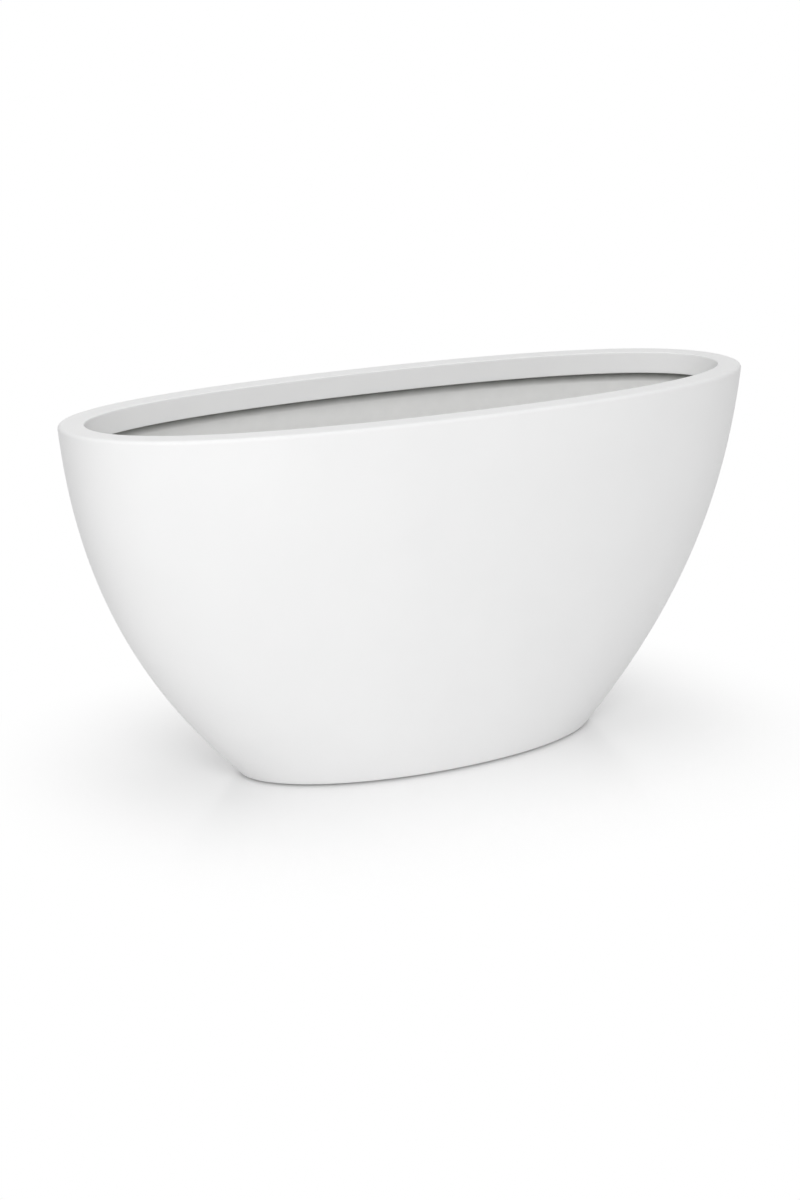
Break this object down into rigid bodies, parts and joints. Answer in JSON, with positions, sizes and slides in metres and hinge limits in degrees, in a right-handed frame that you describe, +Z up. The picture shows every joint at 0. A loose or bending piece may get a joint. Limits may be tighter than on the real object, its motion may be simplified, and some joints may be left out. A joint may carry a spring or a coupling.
{
  "type": "oval planter bowl",
  "caption": "Tall oval planter bowl that flares from a flat foot to a wide mouth, with a flat rim, a lip turned down inside and stoppered drain holes.",
  "frame": {"origin": "middle of the bowl, on the ground that the foot pads stand on", "axes": "+X along the long axis, +Y across the short axis, +Z up through the mouth"},
  "size_m": [0.8594, 0.3018, 0.42],
  "materials": {
    "shell_white": "matt white sprayed coat on a fibre laminate",
    "rim_white": "matt white sprayed coat on a fibre laminate",
    "bonding_paste": "cured bonding paste, sanded flush and painted over",
    "stopper_rubber": "black moulded rubber",
    "pad_rubber": "dark grey rubber, slightly rough"
  },
  "bodies": {
    "bowl": {"bowl_shell": "shell_white", "rim_collar": "rim_white", "rim_bond": "bonding_paste", "foot_pad_1": "pad_rubber", "foot_pad_2": "pad_rubber", "foot_pad_3": "pad_rubber", "foot_pad_4": "pad_rubber", "foot_pad_5": "pad_rubber", "foot_pad_6": "pad_rubber"},
    "stopper_left": {"drain_stopper_left": "stopper_rubber"},
    "stopper_right": {"drain_stopper_right": "stopper_rubber"}
  },
  "joints": [
    {"name": "stopper_left_lift", "type": "slide", "parent": "bowl", "child": "stopper_left", "axis": [0, 0, 1], "range_m": [0, 0.03]},
    {"name": "stopper_right_lift", "type": "slide", "parent": "bowl", "child": "stopper_right", "axis": [0, 0, 1], "range_m": [0, 0.03]}
  ]
}
